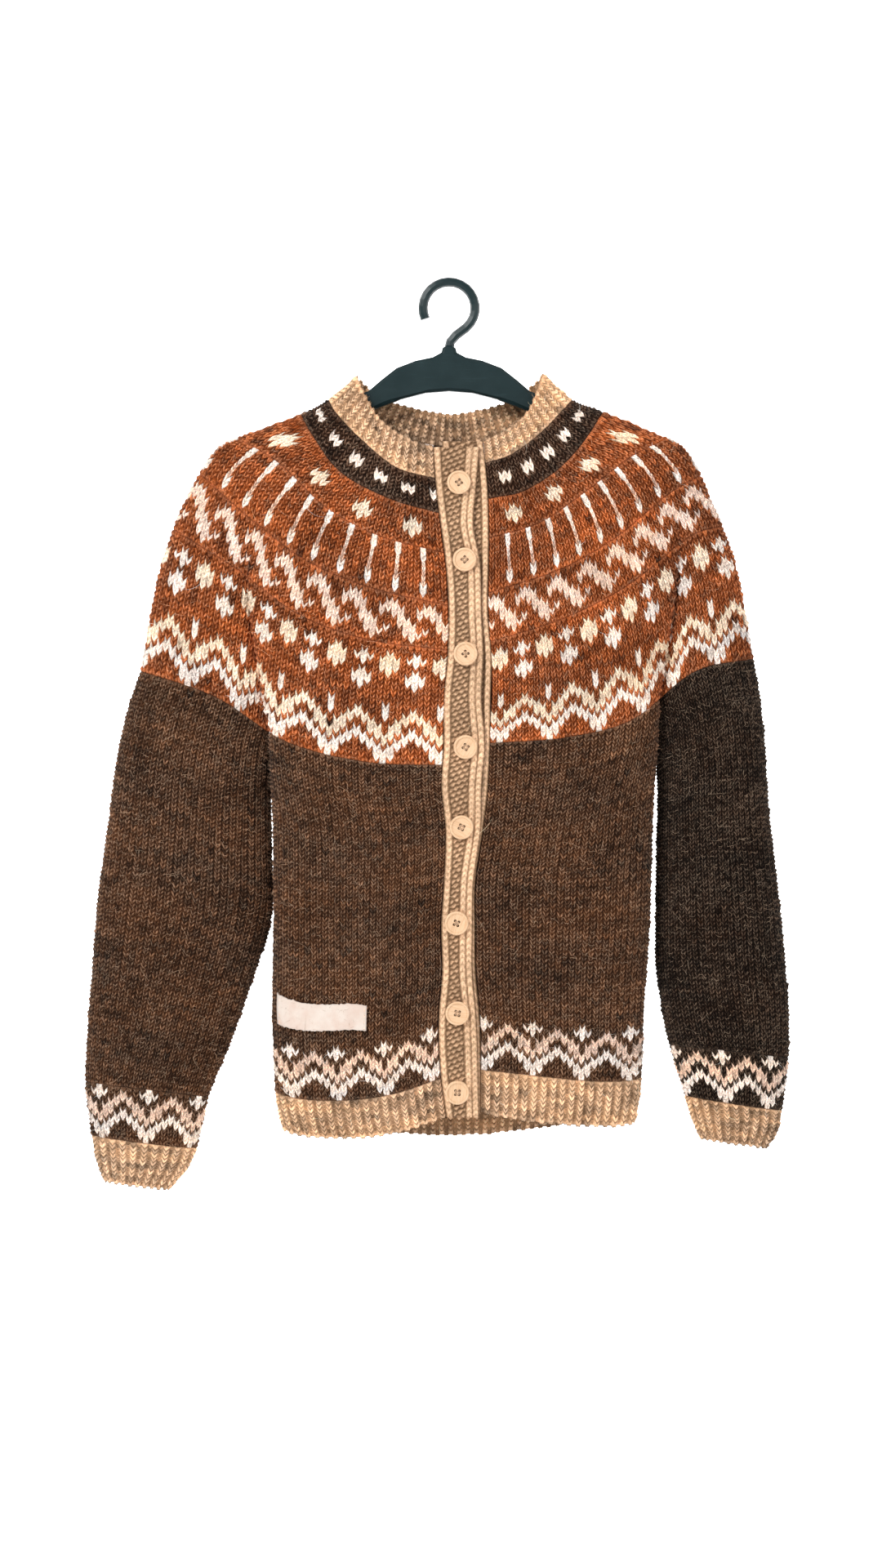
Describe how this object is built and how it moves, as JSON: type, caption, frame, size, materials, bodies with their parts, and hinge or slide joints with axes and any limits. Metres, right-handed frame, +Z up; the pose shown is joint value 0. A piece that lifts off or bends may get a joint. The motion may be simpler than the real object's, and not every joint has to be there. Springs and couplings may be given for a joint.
{
  "type": "wool cardigan on a hanger",
  "caption": "Brown hand-knit wool cardigan with a rust round yoke in Nordic colourwork, tan ribbing and wooden buttons, on a dark plastic hanger.",
  "frame": {"origin": "under the top of the hanger's hook, where it bears on the rail", "axes": "+Z up along the garment's length, -Y out of the front, +X to the wearer's left"},
  "size_m": [0.5928, 0.1007, 0.7702],
  "materials": {
    "brown_wool": "heathered wool stockinette with a soft halo",
    "rust_wool": "stranded colourwork in white, cream and pink on rust",
    "tan_wool": "knit one purl one rib",
    "light_wood": "turned and waxed",
    "label_tape": "woven tape, bare",
    "hanger_plastic": "moulded, half gloss"
  },
  "bodies": {
    "root": {"yoke_right_front": "rust_wool", "yoke_left_front": "rust_wool", "yoke_back": "rust_wool", "body_right_front": "brown_wool", "body_left_front": "brown_wool", "body_back": "brown_wool", "sleeve_right": "brown_wool", "sleeve_left": "brown_wool", "welt_right_front": "tan_wool", "welt_left_front": "tan_wool", "welt_back": "tan_wool", "cuff_right": "tan_wool", "cuff_left": "tan_wool", "neckband_right": "tan_wool", "neckband_left": "tan_wool", "band_buttonholes": "tan_wool", "band_buttons": "tan_wool", "button_1": "light_wood", "button_2": "light_wood", "button_3": "light_wood", "button_4": "light_wood", "button_5": "light_wood", "button_6": "light_wood", "button_7": "light_wood", "button_8": "light_wood", "label": "label_tape", "hanger": "hanger_plastic"}
  },
  "joints": []
}
